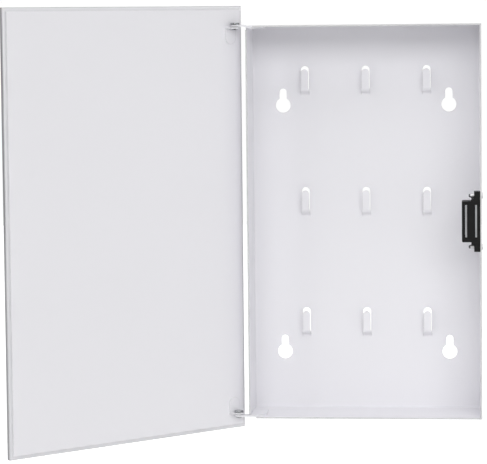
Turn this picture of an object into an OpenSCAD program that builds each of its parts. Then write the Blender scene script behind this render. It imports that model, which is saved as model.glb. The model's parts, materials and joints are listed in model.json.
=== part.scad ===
// Wall-hung key cabinet: a folded steel body with lanced key hooks, and a glass-fronted door on two
// pivot pins, held shut by a magnetic catch.
// The origin is the middle of the back panel's rear face, on the wall. +Z is up, +X is to the right
// as the user faces the cabinet, and the door is on the -Y side with its hinge at -X.

/* [Cabinet body] */
// Width of the folded body
body_w = 166; // [160:1:176]
// Height of the folded body
body_h = 280; // [276:1:290]
// Depth from the wall to the open rim
body_d = 48; // [44:1:60]
// Thickness of the sheet steel
sheet_t = 1; // [0.8:0.1:1.2]
// Outside radius of the folds along the back
fold_r = 1.6; // [1.4:0.1:2.4]

/* [Key hooks] */
// Hooks in a row
hook_cols = 3; // [2:1:3]
// Rows of hooks
hook_rows = 3; // [2:1:3]
// Distance between hooks in a row
hook_pitch_x = 44; // [36:1:46]
// Distance between rows
hook_pitch_z = 88; // [80:1:92]
// Height of the middle of the pattern above the middle of the body
hook_raise = 11.5; // [0:0.5:16]
// Width of the slot each hook is lanced from
slot_w = 5.8; // [5.7:0.1:7]
// Height of that slot
slot_h = 21.6; // [20:0.1:24]
// Width of the hook's tongue
tongue_w = 5.3; // [4.5:0.1:5.5]
// How far the tongue stands forward of the sheet it was cut from
hook_offset = 4.5; // [3.5:0.1:5]
// Angle of each of the two bends in the tongue
hook_bend = 75; // [65:1:85]
// Open gap above the tongue's tip
tip_gap = 2.2; // [2:0.1:4]

/* [Wall keyholes] */
// Distance between keyholes across the body
keyhole_pitch_x = 120; // [110:1:126]
// Distance between keyholes up the body
keyhole_pitch_z = 180; // [176:1:196]
// Height of the round holes' middle relative to the middle of the body
keyhole_raise = -8; // [-10:0.5:0]
// Radius of the round hole that a screw head passes through
keyhole_r = 5.4; // [4.5:0.1:5.6]
// Width of the neck that grips the screw's shank
neck_w = 5.2; // [4:0.1:6]
// Distance from the round hole's middle to the end of the neck's straight part
neck_rise = 9.5; // [8:0.1:10]

/* [Door] */
// Width of the door
door_w = 202; // [194:1:210]
// Height of the door
door_h = 302; // [298:1:310]
// Height of the door's middle above the middle of the body
door_raise = 3; // [0:0.5:5]
// Thickness of the glass
glass_t = 3; // [3:0.5:5]
// Small bevel on the glass's edges
glass_bevel = 0.4; // [0.2:0.1:0.8]
// Thickness of the tape between the glass and the backing plate
tape_t = 0.5; // [0.4:0.1:1]
// Width of a strip of tape
tape_w = 18; // [12:1:25]
// Thickness of the steel backing plate
plate_t = 1; // [0.8:0.1:1.2]
// How much smaller the backing plate is than the glass, on each side
plate_margin = 2.5; // [2:0.5:5]
// Gap between the body's rim and the shut door
door_gap = 1; // [0.8:0.1:1.5]
// How far the door stands open in the model
door_open = 136; // [0:1:150]

/* [Hinge] */
// Distance from the pin's axis to the left wall's outer face
pin_out = 7.5; // [7:0.1:8]
// Distance from the pin's axis to the door's inner face
pin_back = 4.4; // [4.4:0.1:4.8]
// Radius of the pin's shank
pin_r = 1.5; // [1.3:0.1:1.6]
// Radius of the pin's head
pin_head_r = 3.2; // [2.4:0.1:3.2]
// Height of the pin's head
pin_head_h = 1.5; // [1:0.1:2]
// Thickness of the body's hinge leaves
leaf_t = 1.2; // [1:0.1:1.5]
// Thickness of the door's hinge brackets
bracket_t = 1; // [0.8:0.1:1]
// Width of a door bracket's upright leaf
bracket_w = 9; // [8:0.5:10]
// Height of a door bracket
bracket_h = 12; // [10:0.5:16]
// Thickness of the washers
washer_t = 0.4; // [0.3:0.1:0.5]

/* [Magnetic catch] */
// Width of the housing, from the wall inwards
catch_w = 13; // [12.6:0.1:14]
// Height of the housing
catch_h = 28.9; // [28:0.1:32]
// Depth of the housing
catch_d = 15; // [15:0.5:18]
// Height over both ears
catch_ears_h = 42.6; // [42.4:0.1:46]
// Height of the housing's middle above the middle of the body
catch_raise = 0.6; // [-10:0.1:10]
// Thickness of an ear
ear_t = 4.4; // [4:0.1:4.6]
// Distance between the middles of the pole plates
pole_pitch = 6.95; // [6.5:0.05:7.2]
// Thickness of a pole plate
pole_t = 1.2; // [1:0.1:1.3]
// Height of a pole plate
pole_h = 22.7; // [20:0.1:23]
// Height of the pole plates' middle above the middle of the housing
pole_raise = 0.5; // [0:0.1:0.8]
// How far the magnet and pole plates can be pushed into the housing
catch_float = 0.6; // [0.3:0.1:0.8]

/* [Hidden] */
$fn = 64;

white_paint = [0.89, 0.89, 0.91];
cut = 0.5;                     // overrun of a cutting shape past the face it cuts
slip = 0.06;                   // clearance of a turning or sliding fit
play = 0.05;                   // end play between stacked hinge pieces

left_x = -body_w / 2;
rim_y = -body_d;
pin_x = left_x - pin_out;
door_face_y = rim_y - door_gap;
pin_y = door_face_y + pin_back;

fold_inner_r = fold_r - sheet_t;
bend_r = hook_offset / (2 * (1 - cos(hook_bend)));
bend_rise = 2 * bend_r * sin(hook_bend);
bend_lap = 0.5;                // angle by which a tongue's two bends run into each other, so that they join solidly
tongue_x = 0.1 - slot_w / 2;   // left side of a tongue, from the middle of its slot
root_lap = 0.2;                // how far a tongue's root laps onto the sheet beside the slot

leaf_reach = 12;               // how far a body leaf runs in along the wall
leaf_depth = 26;               // how far a body leaf runs back from the rim
leaf_corner_w = 6;             // corner cut off a body leaf at the rim: width
leaf_corner_d = 8;             // corner cut off a body leaf at the rim: depth
leaf_nose_r = 2.6;             // round end of a body leaf, about the pin
notch_w = 5;                   // corner notch: width along the top or bottom wall
notch_d = 7;                   // corner notch: depth back from the rim
notch_h = 3;                   // corner notch: height up the left wall
tab_r = 3.4;                   // round end of a door bracket's tab, about the pin
tail_r = 2.2;                  // closed end of a pin, on the far side of the body leaf
tail_h = 0.8;
washer_r = 2.5;

joggle = 1.7;                  // how far the top leaf's nose stands above the plate it grows from
joggle_start = left_x - 1.6;   // x at which the nose starts to slope down to the plate
joggle_end = left_x + 3.8;     // x at which it reaches the plate
joggle_relief = 0.5;           // gap between the slope and the plate behind it

// The two pins are alike. From its tail up, the bottom one holds the leaf, the washer and the door's tab, and
// the top one holds the tab, the washer and the leaf.
tab_lift = leaf_t + washer_t + 2 * play;       // bottom hinge: from the leaf's underside to the tab's
head_lift = tab_lift + bracket_t + 2 * play;   // from the top of a pin's tail to its head's underside
leaf_z_bottom = -body_h / 2 + sheet_t;
leaf_z_top = body_h / 2 - sheet_t - leaf_t;
nose_z_top = leaf_z_top + joggle;
pin_z_top = nose_z_top + leaf_t - head_lift;
tab_z_top = pin_z_top + 2 * play;
washer_z_top = tab_z_top + bracket_t + play;

catch_x = body_w / 2 - sheet_t;                // the right wall's inner face
catch_mid_x = catch_x - catch_w / 2;
catch_front = 1.5;                             // thickness of the housing's front wall
core_gap = 0.1;                                // clearance round the magnet and pole plates
core_d = 11;                                   // depth of the magnet's and pole plates' back from the rim
core_back_y = rim_y + core_d;
pole_tip_gap = 0.1;                            // from the pole plates' front edges to the shut door
pole_tip_y = rim_y - door_gap + pole_tip_gap;
magnet_front_y = rim_y + catch_front + play;
core_w = pole_pitch + pole_t;
core_z = catch_raise + pole_raise;             // height of the middle of the magnet and pole plates
rivet_inset = 3.1;                             // from an ear's end to its rivet
rivet_z = catch_ears_h / 2 - rivet_inset;
rivet_y = rim_y + 6;
rivet_r = 1.2;
rivet_set_h = 2.6;                             // height of a rivet's set end, inside the cabinet
stem_r = 0.65;

// A slab lying in XZ, centred on X and Z, from y0 to y0 + t, with all its edges bevelled.
module bevelled_slab(w, h, t, y0, bevel) {
    module outline(a, b) {
        polygon([[bevel - a, -b], [a - bevel, -b], [a, bevel - b], [a, b - bevel],
            [a - bevel, b], [bevel - a, b], [-a, b - bevel], [-a, bevel - b]]);
    }
    translate([0, y0 + t / 2, 0]) intersection() {
        translate([0, 0, -h / 2]) linear_extrude(h) outline(w / 2, t / 2);
        rotate([90, 0, 90]) translate([0, 0, -w / 2]) linear_extrude(w) outline(t / 2, h / 2);
        rotate([90, 0, 0]) translate([0, 0, -t / 2]) linear_extrude(t) outline(w / 2, h / 2);
    }
}

// Cross-section of an open tray: half_w each side of 0, its floor at y = 0 with round corners, open at y = -depth.
module tray_section(half_w, depth, r) {
    translate([-half_w, -depth]) square([2 * half_w, depth - r]);
    translate([r - half_w, -depth]) square([2 * (half_w - r), depth]);
    for (s = [-1, 1]) translate([s * (half_w - r), -r]) circle(r);
}

// A tray with folded, rounded edges along its floor. Its floor is at y = 0 and it opens towards -Y.
module tray(w, h, depth, r) {
    intersection() {
        translate([0, 0, -h / 2]) linear_extrude(h) tray_section(w / 2, depth, r);
        rotate([0, 90, 0]) translate([0, 0, -w / 2]) linear_extrude(w) tray_section(h / 2, depth, r);
    }
}

module at_hooks() {
    for (c = [0:hook_cols - 1], r = [0:hook_rows - 1])
        translate([(c - (hook_cols - 1) / 2) * hook_pitch_x, 0, hook_raise + (r - (hook_rows - 1) / 2) * hook_pitch_z])
            children();
}

module at_keyholes() {
    for (sx = [-0.5, 0.5], sz = [-0.5, 0.5])
        translate([sx * keyhole_pitch_x, 0, keyhole_raise + sz * keyhole_pitch_z]) children();
}

// Places something at the two rivets of the catch, at the given x.
module at_rivets(x) {
    for (s = [-1, 1]) translate([x, rivet_y, catch_raise + s * rivet_z]) children();
}

// Cuts a flat outline, drawn in XZ, straight through the back panel.
module through_panel() {
    translate([0, cut, 0]) rotate([90, 0, 0]) linear_extrude(sheet_t + 2 * cut) children();
}

module keyhole_outline() {
    circle(keyhole_r);
    translate([-neck_w / 2, 0]) square([neck_w, neck_rise]);
    translate([0, neck_rise]) circle(neck_w / 2);
}

module slot_outline() {
    translate([-slot_w / 2, -slot_h / 2]) square([slot_w, slot_h - slot_w / 2]);
    translate([0, slot_h / 2 - slot_w / 2]) circle(slot_w / 2);
}

// Part of a ring of sheet, of middle radius r, between two angles less than 90 apart.
module ring_part(r, from, to) {
    reach = 2 * (r + sheet_t);
    intersection() {
        difference() {
            circle(r + sheet_t / 2);
            circle(r - sheet_t / 2);
        }
        polygon([[0, 0], for (a = [from, (from + to) / 2, to]) reach * [cos(a), sin(a)]]);
    }
}

// Side view of a tongue, y across and z up: a root in the sheet, two bends and a straight arm.
module tongue_side() {
    root = -slot_h / 2;
    tip = slot_h / 2 - tip_gap;
    mid = -sheet_t / 2;
    translate([-sheet_t, root - cut]) square([sheet_t, cut]);
    translate([mid - bend_r, root]) ring_part(bend_r, 0, hook_bend + bend_lap);
    translate([mid - hook_offset + bend_r, root + bend_rise]) ring_part(bend_r, 180, 180 + hook_bend + bend_lap);
    translate([mid - hook_offset - sheet_t / 2, root + bend_rise]) square([sheet_t, tip - root - bend_rise]);
}

// Front view of a tongue: straight sides and a round tip, against the slot's left side. The root fills the slot,
// and narrows to the tongue's width as it reaches the second bend.
module tongue_front() {
    root = -slot_h / 2;
    tip = slot_h / 2 - tip_gap;
    r = tongue_w / 2;
    root_side = slot_w / 2 + root_lap;
    narrowing = root + 0.7 * bend_rise;
    translate([tongue_x, root + bend_rise - cut]) square([tongue_w, tip - r - root - bend_rise + cut]);
    translate([tongue_x + r, tip - r]) circle(r);
    polygon([[-root_side, root - cut], [root_side, root - cut], [root_side, narrowing],
        [tongue_x + tongue_w, root + bend_rise], [tongue_x, root + bend_rise], [-root_side, narrowing]]);
}

module tongue() {
    width = slot_w + 2 * root_lap + 2 * cut;
    intersection() {
        rotate([90, 0, 90]) translate([0, 0, -width / 2]) linear_extrude(width) tongue_side();
        translate([0, cut, 0]) rotate([90, 0, 0]) linear_extrude(hook_offset + 2 * sheet_t) tongue_front();
    }
}

// The corner is cut away where a hinge leaf leaves the body. side is 1 at the top and -1 at the bottom.
module corner_notch(side) {
    z = side * body_h / 2;
    translate([left_x - cut, rim_y - cut, min(z, z - side * notch_h) - (side < 0 ? cut : 0)])
        cube([sheet_t + cut, notch_d + cut, notch_h + cut]);
    translate([left_x - cut, rim_y - cut, side > 0 ? z - sheet_t : z - cut])
        cube([notch_w + cut, notch_d + cut, sheet_t + cut]);
}

module cabinet_body() {
    color(white_paint) {
        difference() {
            tray(body_w, body_h, body_d, fold_r);
            translate([0, -sheet_t, 0])
                tray(body_w - 2 * sheet_t, body_h - 2 * sheet_t, body_d, fold_inner_r);
            at_keyholes() through_panel() keyhole_outline();
            at_hooks() through_panel() slot_outline();
            for (side = [-1, 1]) corner_notch(side);
            at_rivets(catch_x - cut) rotate([0, 90, 0]) cylinder(r = rivet_r, h = sheet_t + 2 * cut);
        }
        at_hooks() tongue();
    }
}

// Plan of the nose that reaches out from a leaf to the pin, as far in as x = to.
module nose_outline(to) {
    translate([pin_x, pin_y - leaf_nose_r]) square([to - pin_x, 2 * leaf_nose_r]);
    translate([pin_x, pin_y]) circle(leaf_nose_r);
}

// Plan of the plate of a leaf, along the wall, with its front corner cut off. The part beside the nose starts at x = from.
module plate_outline(from) {
    front = pin_y - leaf_nose_r;
    beside = pin_y + leaf_nose_r + joggle_relief;
    inner_x = left_x + sheet_t;
    end_x = left_x + leaf_reach;
    polygon([[from, front], [end_x - leaf_corner_w, front], [end_x, front + leaf_corner_d],
        [end_x, front + leaf_depth], [inner_x, front + leaf_depth], [inner_x, beside], [from, beside]]);
}

module leaf_bore(z) {
    translate([pin_x, pin_y, z - cut]) cylinder(r = pin_r, h = leaf_t + 2 * cut);
}

// A flat leaf on the bottom wall.
module body_hinge_leaf_bottom() {
    color(white_paint) difference() {
        translate([0, 0, leaf_z_bottom]) linear_extrude(leaf_t) {
            plate_outline(left_x + sheet_t);
            nose_outline(left_x + sheet_t + cut);
        }
        leaf_bore(leaf_z_bottom);
    }
}

// A leaf under the top wall. Its nose slopes up through the corner notch, to lie above the door's tab.
module body_hinge_leaf_top() {
    bend_shift = leaf_t * tan(atan(joggle / (joggle_end - joggle_start)) / 2);
    depth = 2 * leaf_nose_r;
    color(white_paint) difference() {
        union() {
            translate([0, 0, leaf_z_top]) linear_extrude(leaf_t) plate_outline(joggle_end);
            intersection() {
                translate([0, 0, leaf_z_top - cut]) linear_extrude(joggle + leaf_t + 2 * cut) nose_outline(joggle_end + 1);
                translate([0, pin_y + depth, leaf_z_top]) rotate([90, 0, 0]) linear_extrude(2 * depth)
                    polygon([[pin_x - depth, joggle], [joggle_start, joggle], [joggle_end, 0], [joggle_end + 1, 0],
                        [joggle_end + 1, leaf_t], [joggle_end + bend_shift, leaf_t],
                        [joggle_start + bend_shift, joggle + leaf_t], [pin_x - depth, joggle + leaf_t]]);
            }
        }
        leaf_bore(nose_z_top);
    }
}

// A headed rivet standing through a body leaf, a washer and a bracket's tab. z is the top of its tail.
module pivot_pin(z) {
    crown = 0.5;               // height of the rounded edge of the head
    color("silver") translate([pin_x, pin_y, z]) rotate_extrude() {
        translate([0, -tail_h]) square([tail_r - 0.3, tail_h]);
        translate([0, -tail_h + 0.3]) square([tail_r, tail_h - 0.3]);
        translate([0, -cut]) square([pin_r, head_lift + 2 * cut]);
        translate([0, head_lift]) {
            square([pin_head_r, pin_head_h - crown]);
            square([pin_head_r - crown, pin_head_h]);
            translate([pin_head_r - crown, pin_head_h - crown]) intersection() {
                circle(crown);
                square(crown);
            }
        }
    }
}

module pivot_pin_top() { pivot_pin(pin_z_top); }
module pivot_pin_bottom() { pivot_pin(leaf_z_bottom); }

module pivot_washer(z) {
    color([0.2, 0.2, 0.21]) translate([pin_x, pin_y, z]) difference() {
        cylinder(r = washer_r, h = washer_t);
        translate([0, 0, -cut]) cylinder(r = pin_r + slip, h = washer_t + 2 * cut);
    }
}

module pivot_washer_top() { pivot_washer(washer_z_top); }
module pivot_washer_bottom() { pivot_washer(leaf_z_bottom + leaf_t); }

// Turns what is drawn for the shut door about the pins, to stand open.
module hung() {
    translate([pin_x, pin_y, 0]) rotate([0, 0, -door_open]) translate([-pin_x, -pin_y, 0]) children();
}

module door_glass() {
    color([0.93, 0.94, 0.95]) hung()
        translate([0, 0, door_raise])
            bevelled_slab(door_w, door_h, glass_t, door_face_y - plate_t - tape_t - glass_t, glass_bevel);
}

module door_backing_plate() {
    plate_bevel = 0.15;
    color(white_paint) hung()
        translate([0, 0, door_raise])
            bevelled_slab(door_w - 2 * plate_margin, door_h - 2 * plate_margin, plate_t, door_face_y - plate_t, plate_bevel);
}

// Four strips of tape, two upright and two across, set in from the plate's edges.
module door_tape() {
    inset = plate_margin + 6;  // from the glass's edge to the outer side of a strip
    gap = 10;                  // between the end of one strip and the side of the next
    w = door_w - 2 * inset;
    h = door_h - 2 * inset;
    across = w - 2 * (tape_w + gap);
    color([0.85, 0.86, 0.84]) hung()
        translate([0, door_face_y - plate_t - tape_t, door_raise]) {
            for (x = [-w / 2, w / 2 - tape_w]) translate([x, 0, -h / 2]) cube([tape_w, tape_t, h]);
            for (z = [-h / 2, h / 2 - tape_w]) translate([-across / 2, 0, z]) cube([across, tape_t, tape_w]);
        }
}

// An angle bracket on the door's inner face. z is the underside of its tab. The upright leaf runs up from
// the tab when side is 1, and down from it when side is -1.
module door_bracket(z, side) {
    leaf_x = pin_x - tab_r;
    r = bracket_w / 2;
    color(white_paint) hung() translate([0, 0, z]) {
        difference() {
            union() {
                translate([leaf_x, door_face_y, 0]) cube([bracket_w, pin_back, bracket_t]);
                translate([pin_x, pin_y, 0]) cylinder(r = tab_r, h = bracket_t);
            }
            translate([pin_x, pin_y, -cut]) cylinder(r = pin_r + slip, h = bracket_t + 2 * cut);
        }
        translate([leaf_x, door_face_y + bracket_t, side > 0 ? 0 : bracket_t]) rotate([90, 0, 0])
            mirror([0, side > 0 ? 0 : 1, 0]) linear_extrude(bracket_t) {
                square([bracket_w, bracket_h - r]);
                translate([r, bracket_h - r]) circle(r);
            }
    }
}

module door_bracket_top() { door_bracket(tab_z_top, -1); }
module door_bracket_bottom() { door_bracket(leaf_z_bottom + tab_lift, 1); }

// A plastic box on the right wall with an ear above and below, open at the back for its magnet.
module catch_housing() {
    gusset_w = 2;
    gusset_h = 1.7;
    ear_d = 11;
    lip = 0.8;                 // height of the ridges that keep the magnet in
    lip_d = 1.2;
    cavity_h = pole_h + 2 * core_gap;
    cavity_w = core_w + 2 * core_gap;
    stop_y = core_back_y + catch_float + play;
    color([0.12, 0.12, 0.12]) difference() {
        translate([0, 0, catch_raise]) {
            translate([catch_mid_x, 0, 0]) bevelled_slab(catch_w, catch_h, catch_d, rim_y, 0.6);
            translate([catch_x - ear_t / 2, 0, 0])
                bevelled_slab(ear_t, catch_ears_h, ear_d, rim_y, 0.4);
            translate([catch_x - ear_t / 2 - gusset_w / 2, 0, 0])
                bevelled_slab(ear_t + gusset_w, catch_h + 2 * gusset_h, ear_d, rim_y, 0.4);
        }
        translate([catch_mid_x - cavity_w / 2, 0, core_z]) {
            difference() {
                translate([0, rim_y + catch_front, -cavity_h / 2]) cube([cavity_w, catch_d, cavity_h]);
                for (s = [-1, 1]) translate([0, stop_y, s * cavity_h / 2 - lip]) cube([cavity_w, lip_d, 2 * lip]);
            }
            for (x = [0, pole_pitch]) translate([x, rim_y - cut, -cavity_h / 2])
                cube([pole_t + 2 * core_gap, catch_front + 2 * cut, cavity_h]);
        }
        at_rivets(catch_x - ear_t - cut) rotate([0, 90, 0]) cylinder(r = rivet_r, h = ear_t + 2 * cut);
    }
}

module catch_magnet() {
    w = pole_pitch - pole_t;
    h = pole_h - 1;
    color([0.22, 0.22, 0.23])
        translate([catch_mid_x, 0, core_z])
            bevelled_slab(w, h, core_back_y - magnet_front_y, magnet_front_y, 0.2);
}

// A steel strip beside the magnet, with its front edge standing proud of the housing.
module pole_plate(side) {
    color([0.55, 0.56, 0.57])
        translate([catch_mid_x + side * pole_pitch / 2, 0, core_z])
            bevelled_slab(pole_t, pole_h, core_back_y - pole_tip_y, pole_tip_y, 0.15);
}

module catch_pole_plate_inner() { pole_plate(-1); }
module catch_pole_plate_outer() { pole_plate(1); }

// Blind rivets from outside the right wall, through the ears, with their set ends inside.
module catch_rivets() {
    flange_r = 2.4;
    flange_h = 0.8;
    set_r = 1.8;
    set_bevel = 0.5;
    grip = ear_t + sheet_t;
    color("silver") at_rivets(catch_x - ear_t)
        rotate([0, 90, 0]) rotate_extrude() {
            translate([stem_r, -rivet_set_h]) square([set_r - set_bevel - stem_r, rivet_set_h]);
            translate([stem_r, set_bevel - rivet_set_h]) square([set_r - stem_r, rivet_set_h - set_bevel]);
            translate([stem_r, -cut]) square([rivet_r - stem_r, grip + cut + flange_h]);
            translate([stem_r, grip]) {
                square([flange_r - stem_r, flange_h / 2]);
                square([flange_r - 0.4 - stem_r, flange_h]);
            }
        }
}

// The pulled stems left inside the rivets, each with its small head at the set end.
module catch_rivet_stems() {
    head_r = 1.2;
    head_h = 1.2;
    color([0.3, 0.3, 0.31]) at_rivets(catch_x - ear_t)
        rotate([0, 90, 0]) rotate_extrude() {
            translate([0, -rivet_set_h - 0.1]) square([stem_r, ear_t + sheet_t + rivet_set_h]);
            translate([0, -rivet_set_h - head_h]) {
                square([head_r - 0.4, head_h]);
                translate([0, 0.4]) square([head_r, head_h - 0.4]);
            }
        }
}

cabinet_body();
body_hinge_leaf_top();
body_hinge_leaf_bottom();
pivot_pin_top();
pivot_pin_bottom();
pivot_washer_top();
pivot_washer_bottom();
door_glass();
door_backing_plate();
door_tape();
door_bracket_top();
door_bracket_bottom();
catch_housing();
catch_magnet();
catch_pole_plate_inner();
catch_pole_plate_outer();
catch_rivets();
catch_rivet_stems();
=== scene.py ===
import json
import math

import bpy
from mathutils import Matrix, Vector


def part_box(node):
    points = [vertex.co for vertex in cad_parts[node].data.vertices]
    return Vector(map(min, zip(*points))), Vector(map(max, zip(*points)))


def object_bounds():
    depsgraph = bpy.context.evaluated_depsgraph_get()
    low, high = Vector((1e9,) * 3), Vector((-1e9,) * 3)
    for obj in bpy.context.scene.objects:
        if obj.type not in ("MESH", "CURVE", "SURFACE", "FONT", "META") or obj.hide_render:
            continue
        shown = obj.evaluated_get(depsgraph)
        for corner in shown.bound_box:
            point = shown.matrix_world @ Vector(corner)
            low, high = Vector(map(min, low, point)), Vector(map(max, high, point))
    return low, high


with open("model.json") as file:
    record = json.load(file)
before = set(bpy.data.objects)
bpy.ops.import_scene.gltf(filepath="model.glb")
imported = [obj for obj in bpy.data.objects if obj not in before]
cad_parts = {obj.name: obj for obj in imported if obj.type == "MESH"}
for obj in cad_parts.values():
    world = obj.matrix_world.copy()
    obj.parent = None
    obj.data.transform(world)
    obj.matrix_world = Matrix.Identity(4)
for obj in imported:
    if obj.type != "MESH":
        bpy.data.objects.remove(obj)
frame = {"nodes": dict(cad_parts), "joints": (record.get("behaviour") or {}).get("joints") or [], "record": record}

cad_box = [list(corner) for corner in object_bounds()]
MM = 0.001

# Camera, fitted to the viewing angle: position in metres, turns in degrees, focal length in picture widths.
CAMERA_PLACE = (0.0687, -1.7157, 0.1449)
CAMERA_YAW = -5.269
CAMERA_PITCH = -4.198
CAMERA_ROLL = -0.595
FOCAL_WIDTHS = 4.858
CAMERA_SHIFT = (-0.0005, -0.0811)

WHITE = (1.0, 1.0, 1.0)

# Brightness that the camera sees behind the object, and glow that it sees on the floor.
BACKDROP = 1.02
FLOOR_LIFT = 0.45

# Soft light panels. Azimuth runs to the right from the front and elevation up from the horizon, in degrees.
LIGHT_PANELS = (
    {"azimuth": (-20, 40), "elevation": (11.5, 32), "strength": 3.6},
    {"azimuth": (-20, 40), "elevation": (45, 60), "strength": 2.95},
    {"azimuth": (-90, -40), "elevation": (0, 32), "strength": 2.35},
    {"azimuth": (40, 90), "elevation": (-6, 10), "strength": 1.65},
    {"azimuth": (-181, 181), "elevation": (60, 91), "strength": 1.6},
    {"azimuth": (90, 181), "elevation": (0, 50), "strength": 0.4},
    {"azimuth": (-181, -90), "elevation": (0, 50), "strength": 0.4},
)

# The angle at which the door stands open at rest, and the direction that its inner face then looks.
OPEN_ANGLE = math.radians(-frame["joints"][0]["range_deg"][0])
DOOR_INWARD = Vector((math.sin(OPEN_ANGLE), math.cos(OPEN_ANGLE), 0.0))


class Shader:
    """Builds a node tree. An input given as a node's output is joined to it; any other value is set."""

    def __init__(self, tree):
        self.tree = tree
        tree.nodes.clear()
        self.coords = self.add("ShaderNodeTexCoord")

    def add(self, kind, settings=None, **inputs):
        """Makes a node. An input's name is written with _ for each space."""
        node = self.tree.nodes.new(kind)
        for name, value in (settings or {}).items():
            setattr(node, name, value)
        for name, value in inputs.items():
            self.feed(node, name.replace("_", " "), value)
        return node

    def feed(self, node, socket, value):
        """Sets one input, named or numbered."""
        target = node.inputs[socket]
        if isinstance(value, bpy.types.NodeSocket):
            self.tree.links.new(value, target)
        elif target.type == "RGBA":
            target.default_value = (*value[:3], 1.0)
        else:
            target.default_value = value

    def noise(self, size, detail=2.0, roughness=0.5, stretch=(1.0, 1.0, 1.0)):
        """Object-space noise whose features are about size metres across."""
        place = self.add("ShaderNodeMapping", Vector=self.coords.outputs["Object"], Scale=stretch)
        noise = self.add("ShaderNodeTexNoise", Vector=place.outputs["Vector"], Scale=1.0 / size,
                         Detail=detail, Roughness=roughness)
        return noise.outputs["Fac"]

    def remap(self, value, low, high, new_low, new_high):
        """Carries low..high over to new_low..new_high, clamped."""
        node = self.add("ShaderNodeMapRange", Value=value, From_Min=low, From_Max=high,
                        To_Min=new_low, To_Max=new_high)
        return node.outputs["Result"]

    def mix(self, factor, a, b):
        """Blends from colour a to colour b."""
        node = self.add("ShaderNodeMix", {"data_type": "RGBA"})
        colour_inputs = [i for i, socket in enumerate(node.inputs) if socket.type == "RGBA"]
        self.feed(node, 0, factor)
        self.feed(node, colour_inputs[0], a)
        self.feed(node, colour_inputs[1], b)
        return next(socket for socket in node.outputs if socket.type == "RGBA")

    def math(self, operation, a, b=0.0):
        """One step of arithmetic."""
        node = self.add("ShaderNodeMath", {"operation": operation})
        self.feed(node, 0, a)
        self.feed(node, 1, b)
        return node.outputs[0]

    def dot(self, a, b):
        """The dot product of two vectors."""
        node = self.add("ShaderNodeVectorMath", {"operation": "DOT_PRODUCT"})
        self.feed(node, 0, a)
        self.feed(node, 1, b)
        return node.outputs["Value"]

    def edges(self, radius):
        """0 on flat faces, rising to 1 on edges."""
        flat = 1.0
        sharp = 0.75
        rounded = self.add("ShaderNodeBevel", {"samples": 4}, Radius=radius)
        true = self.add("ShaderNodeNewGeometry")
        agreement = self.dot(rounded.outputs["Normal"], true.outputs["Normal"])
        return self.remap(agreement, flat, sharp, 0.0, 1.0)

    def bump(self, height, depth, strength=1.0, under=None):
        """Normal for a surface whose height varies by depth metres."""
        node = self.add("ShaderNodeBump", Height=height, Distance=depth, Strength=strength)
        if under is not None:
            self.feed(node, "Normal", under)
        return node.outputs["Normal"]

    def surface(self, **inputs):
        """Ends a material's tree with a principled surface."""
        shader = self.add("ShaderNodeBsdfPrincipled", **inputs)
        output = self.add("ShaderNodeOutputMaterial")
        self.feed(output, "Surface", shader.outputs["BSDF"])


def new_material(name):
    """A material and the builder of its node tree."""
    material = bpy.data.materials.new(name)
    material.use_nodes = True
    return material, Shader(material.node_tree)


def white_paint(name, rim_y=None):
    """Satin powder coat on sheet steel: a cool white with a fine orange peel, greyed at the edges by abrasion and
    by painted shade.

    Where rim_y is given, the cut edges of the sheet in that plane are painted a darker grey: painted shade on the
    front rim line.
    """
    material, s = new_material(name)
    tone = s.mix(s.noise(0.09), (0.836, 0.830, 0.862), (0.852, 0.846, 0.878))
    # Painted shade with some abrasion: edges are blended towards grey, darkening the edge lines.
    abraded_and_shaded_edges = s.math("MULTIPLY", s.edges(0.7 * MM), s.remap(s.noise(6 * MM, 4.0), 0.35, 0.7, 0.35, 0.9))
    colour = s.mix(abraded_and_shaded_edges, tone, (0.50, 0.50, 0.50))
    if rim_y is not None:
        place = s.add("ShaderNodeSeparateXYZ", Vector=s.coords.outputs["Object"])
        on_rim = s.remap(place.outputs["Y"], rim_y + 0.2 * MM, rim_y + 0.1 * MM, 0.0, 1.0)
        # Painted shade: the rim gets a grey tone well below the white coat, darkening the front rim line.
        coat = s.mix(s.noise(5 * MM, 4.0), (0.57, 0.57, 0.575), (0.70, 0.70, 0.705))
        colour = s.mix(on_rim, colour, coat)
    peel = s.bump(s.noise(1.1 * MM, 3.0), 0.03 * MM, 0.5)
    grain = s.bump(s.noise(0.28 * MM, 2.0), 0.008 * MM, 0.5, peel)
    roughness = s.remap(s.noise(14 * MM, 3.0), 0.3, 0.7, 0.30, 0.40)
    s.surface(Base_Color=colour, Roughness=roughness, Normal=grain, Specular_IOR_Level=0.5)
    return material


def white_glass():
    """Back-painted glass: glossy white on its faces, with a ground grey edge."""
    material, s = new_material("white_glass")
    facing = s.math("ABSOLUTE", s.dot(s.coords.outputs["Normal"], DOOR_INWARD))
    on_edge = s.remap(facing, 0.85, 0.55, 0.0, 1.0)
    tone = s.mix(s.noise(0.12), (0.775, 0.775, 0.800), (0.790, 0.790, 0.812))
    grinding = s.noise(3 * MM, 3.0, stretch=(1.0, 1.0, 0.15))
    edge_tone = s.mix(grinding, (0.265, 0.263, 0.276), (0.330, 0.328, 0.341))
    colour = s.mix(on_edge, tone, edge_tone)
    ripple = s.bump(s.noise(0.05, 1.0), 0.02 * MM, 0.25)
    smudge = s.remap(s.noise(0.03, 4.0), 0.45, 0.75, 0.05, 0.11)
    s.surface(Base_Color=colour, Roughness=smudge, Normal=ripple, Specular_IOR_Level=0.5,
              Coat_Weight=0.25, Coat_Roughness=0.05)
    return material


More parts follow.
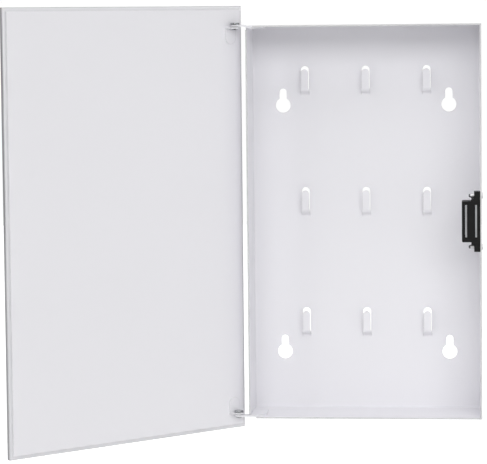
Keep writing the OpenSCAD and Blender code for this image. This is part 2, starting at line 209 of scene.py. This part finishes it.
def moulded_black():
    """Black moulded plastic with a fine spark-eroded grain and paler edges, partly abrasion and partly a painted
    highlight.
    """
    material, s = new_material("black_plastic")
    # Painted highlight with some abrasion: edges are blended to a paler grey.
    abrasion_and_highlight = s.math("MULTIPLY", s.edges(0.3 * MM), s.remap(s.noise(2 * MM, 3.0), 0.4, 0.7, 0.2, 0.8))
    tone = s.mix(s.noise(4 * MM, 3.0), (0.0045, 0.0045, 0.0045), (0.0080, 0.0080, 0.0078))
    colour = s.mix(abrasion_and_highlight, tone, (0.022, 0.022, 0.022))
    grain = s.bump(s.noise(0.22 * MM, 3.0, 0.6), 0.02 * MM, 0.6)
    roughness = s.remap(s.noise(1.5 * MM, 2.0), 0.3, 0.7, 0.42, 0.56)
    s.surface(Base_Color=colour, Roughness=roughness, Normal=grain, Specular_IOR_Level=0.2)
    return material


def ferrite():
    """Dark sintered magnet."""
    material, s = new_material("ferrite")
    tone = s.mix(s.noise(0.6 * MM, 5.0, 0.7), (0.020, 0.020, 0.022), (0.045, 0.045, 0.048))
    pits = s.bump(s.noise(0.4 * MM, 4.0, 0.7), 0.03 * MM, 0.7)
    s.surface(Base_Color=tone, Roughness=s.remap(s.noise(1 * MM), 0.3, 0.7, 0.6, 0.75), Normal=pits)
    return material


def worked_metal(name, dark, light, roughness, stretch):
    """Bare or plated metal with fine marks drawn out along one direction and patches of duller finish."""
    edge_mix_strength = 0.5
    shine = 1.25
    material, s = new_material(name)
    lines = s.noise(0.12 * MM, 3.0, 0.6, stretch)
    patches = s.noise(2.5 * MM, 4.0)
    tone = s.mix(s.math("MULTIPLY", lines, patches), dark, light)
    # Painted highlight with some abrasion: edges are blended to a brighter metal colour.
    abrasion_and_highlight = s.math("MULTIPLY", s.edges(0.25 * MM), edge_mix_strength)
    edge_highlight_colour = [min(1.0, shine * part) for part in light]
    colour = s.mix(abrasion_and_highlight, tone, edge_highlight_colour)
    normal = s.bump(lines, 0.006 * MM, 0.6)
    rough = s.remap(patches, 0.3, 0.7, roughness - 0.06, roughness + 0.10)
    s.surface(Base_Color=colour, Metallic=1.0, Roughness=rough, Normal=normal)
    return material


def foam_tape():
    """Off-white foam tape."""
    material, s = new_material("tape")
    tone = s.mix(s.noise(5 * MM, 4.0), (0.70, 0.70, 0.67), (0.78, 0.78, 0.75))
    cells = s.bump(s.noise(0.35 * MM, 3.0, 0.7), 0.05 * MM, 0.6)
    s.surface(Base_Color=tone, Roughness=s.remap(s.noise(2 * MM), 0.3, 0.7, 0.75, 0.9), Normal=cells)
    return material


def dark_nylon():
    """Dark plastic washer."""
    material, s = new_material("nylon")
    tone = s.mix(s.noise(1.5 * MM, 3.0), (0.045, 0.045, 0.045), (0.075, 0.075, 0.075))
    grain = s.bump(s.noise(0.2 * MM, 2.0), 0.01 * MM, 0.5)
    s.surface(Base_Color=tone, Roughness=s.remap(s.noise(1 * MM), 0.3, 0.7, 0.4, 0.55), Normal=grain)
    return material


def all_materials():
    """Every material, by the name of its slot in the record."""
    round_marks = (1.0, 1.0, 6.0)
    long_marks = (1.0, 1.0, 0.04)
    metals = (
        ("zinc", (0.30, 0.31, 0.32), (0.50, 0.51, 0.52), 0.23, round_marks),
        ("pole_steel", (0.36, 0.37, 0.38), (0.60, 0.61, 0.62), 0.42, long_marks),
        ("rivet_aluminium", (0.60, 0.60, 0.61), (0.80, 0.80, 0.81), 0.36, round_marks),
        ("stem_steel", (0.10, 0.10, 0.11), (0.20, 0.20, 0.21), 0.45, round_marks),
    )
    materials = {
        "white_paint": white_paint("white_paint"),
        "white_glass": white_glass(),
        "black_plastic": moulded_black(),
        "ferrite": ferrite(),
        "tape": foam_tape(),
        "nylon": dark_nylon(),
    }
    for name, dark, light, roughness, marks in metals:
        materials[name] = worked_metal(name, dark, light, roughness, marks)
    return materials


def dress_nodes(materials):
    """Gives every CAD node the material of its slot. The body's paint also carries painted shade on its cut rim.
    """
    rim_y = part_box("cabinet_body")[0].y
    # The body's paint, with painted shade on its front rim.
    body_paint = white_paint("white_paint_shaded_rim", rim_y)
    for part in frame["record"]["subparts"]:
        paint = body_paint if part["node"] == "cabinet_body" else materials[part["material_slot"]]
        for slot in frame["nodes"][part["node"]].material_slots:
            slot.material = paint


def floor():
    """A wide pale floor below the cabinet."""
    drop = 0.12
    half = 3.0
    level = cad_box[0][2] - drop
    mesh = bpy.data.meshes.new("floor")
    corners = [(-half, -half, level), (half, -half, level), (half, half, level), (-half, half, level)]
    mesh.from_pydata(corners, [], [(0, 1, 2, 3)])
    piece = bpy.data.objects.new("floor", mesh)
    bpy.context.scene.collection.objects.link(piece)
    material, s = new_material("floor_paint")
    path = s.add("ShaderNodeLightPath")
    lift = s.math("MULTIPLY", path.outputs["Is Camera Ray"], FLOOR_LIFT)
    s.surface(Base_Color=(0.9, 0.9, 0.9), Roughness=0.8, Emission_Color=WHITE, Emission_Strength=lift)
    mesh.materials.append(material)


def soft_panel(s, azimuth, elevation, panel):
    """Brightness of one soft light panel in a given direction: even inside, with a narrow soft edge."""
    edge = 1.0
    masks = []
    for angle, (low, high) in ((azimuth, panel["azimuth"]), (elevation, panel["elevation"])):
        masks.append(s.remap(angle, low - edge, low + edge, 0.0, 1.0))
        masks.append(s.remap(angle, high - edge, high + edge, 1.0, 0.0))
    brightness = panel["strength"]
    for mask in masks:
        brightness = s.math("MULTIPLY", mask, brightness)
    return brightness


def studio():
    """A white studio: soft light panels all round, seen by the camera as a plain white."""
    world = bpy.data.worlds.new("studio")
    world.use_nodes = True
    bpy.context.scene.world = world
    s = Shader(tree=world.node_tree)
    axes = s.add("ShaderNodeSeparateXYZ", Vector=s.coords.outputs["Generated"])
    right, back, up = axes.outputs
    degrees = 180.0 / math.pi
    azimuth = s.math("MULTIPLY", s.math("ARCTAN2", right, s.math("MULTIPLY", back, -1.0)), degrees)
    elevation = s.math("MULTIPLY", s.math("ARCSINE", up), degrees)
    total = 0.0
    for panel in LIGHT_PANELS:
        total = s.math("ADD", soft_panel(s, azimuth, elevation, panel), total)
    lighting = s.add("ShaderNodeBackground", Color=WHITE, Strength=total)
    seen = s.add("ShaderNodeBackground", Color=WHITE, Strength=BACKDROP)
    path = s.add("ShaderNodeLightPath")
    mix = s.add("ShaderNodeMixShader", Fac=path.outputs["Is Camera Ray"])
    s.feed(mix, 1, lighting.outputs["Background"])
    s.feed(mix, 2, seen.outputs["Background"])
    output = s.add("ShaderNodeOutputWorld")
    s.feed(output, "Surface", mix.outputs["Shader"])


def camera():
    """The camera, in front of the cabinet and a little to its right, looking slightly down."""
    yaw, pitch, roll = (math.radians(a) for a in (CAMERA_YAW, CAMERA_PITCH, CAMERA_ROLL))
    forward = Vector((math.sin(yaw) * math.cos(pitch), math.cos(yaw) * math.cos(pitch), math.sin(pitch)))
    level_right = forward.cross(Vector((0.0, 0.0, 1.0))).normalized()
    level_up = level_right.cross(forward)
    right = math.cos(roll) * level_right + math.sin(roll) * level_up
    up = math.cos(roll) * level_up - math.sin(roll) * level_right
    data = bpy.data.cameras.new("camera")
    data.sensor_width = 36.0
    data.lens = data.sensor_width * FOCAL_WIDTHS
    data.shift_x, data.shift_y = CAMERA_SHIFT
    data.clip_start = 0.05
    data.clip_end = 20.0
    view = bpy.data.objects.new("camera", data)
    axes = Matrix((right, up, -forward)).transposed().to_4x4()
    view.matrix_world = Matrix.Translation(CAMERA_PLACE) @ axes
    bpy.context.scene.collection.objects.link(view)
    bpy.context.scene.camera = view


dress_nodes(all_materials())
floor()
studio()
camera()
bpy.context.scene.view_settings.view_transform = "Standard"
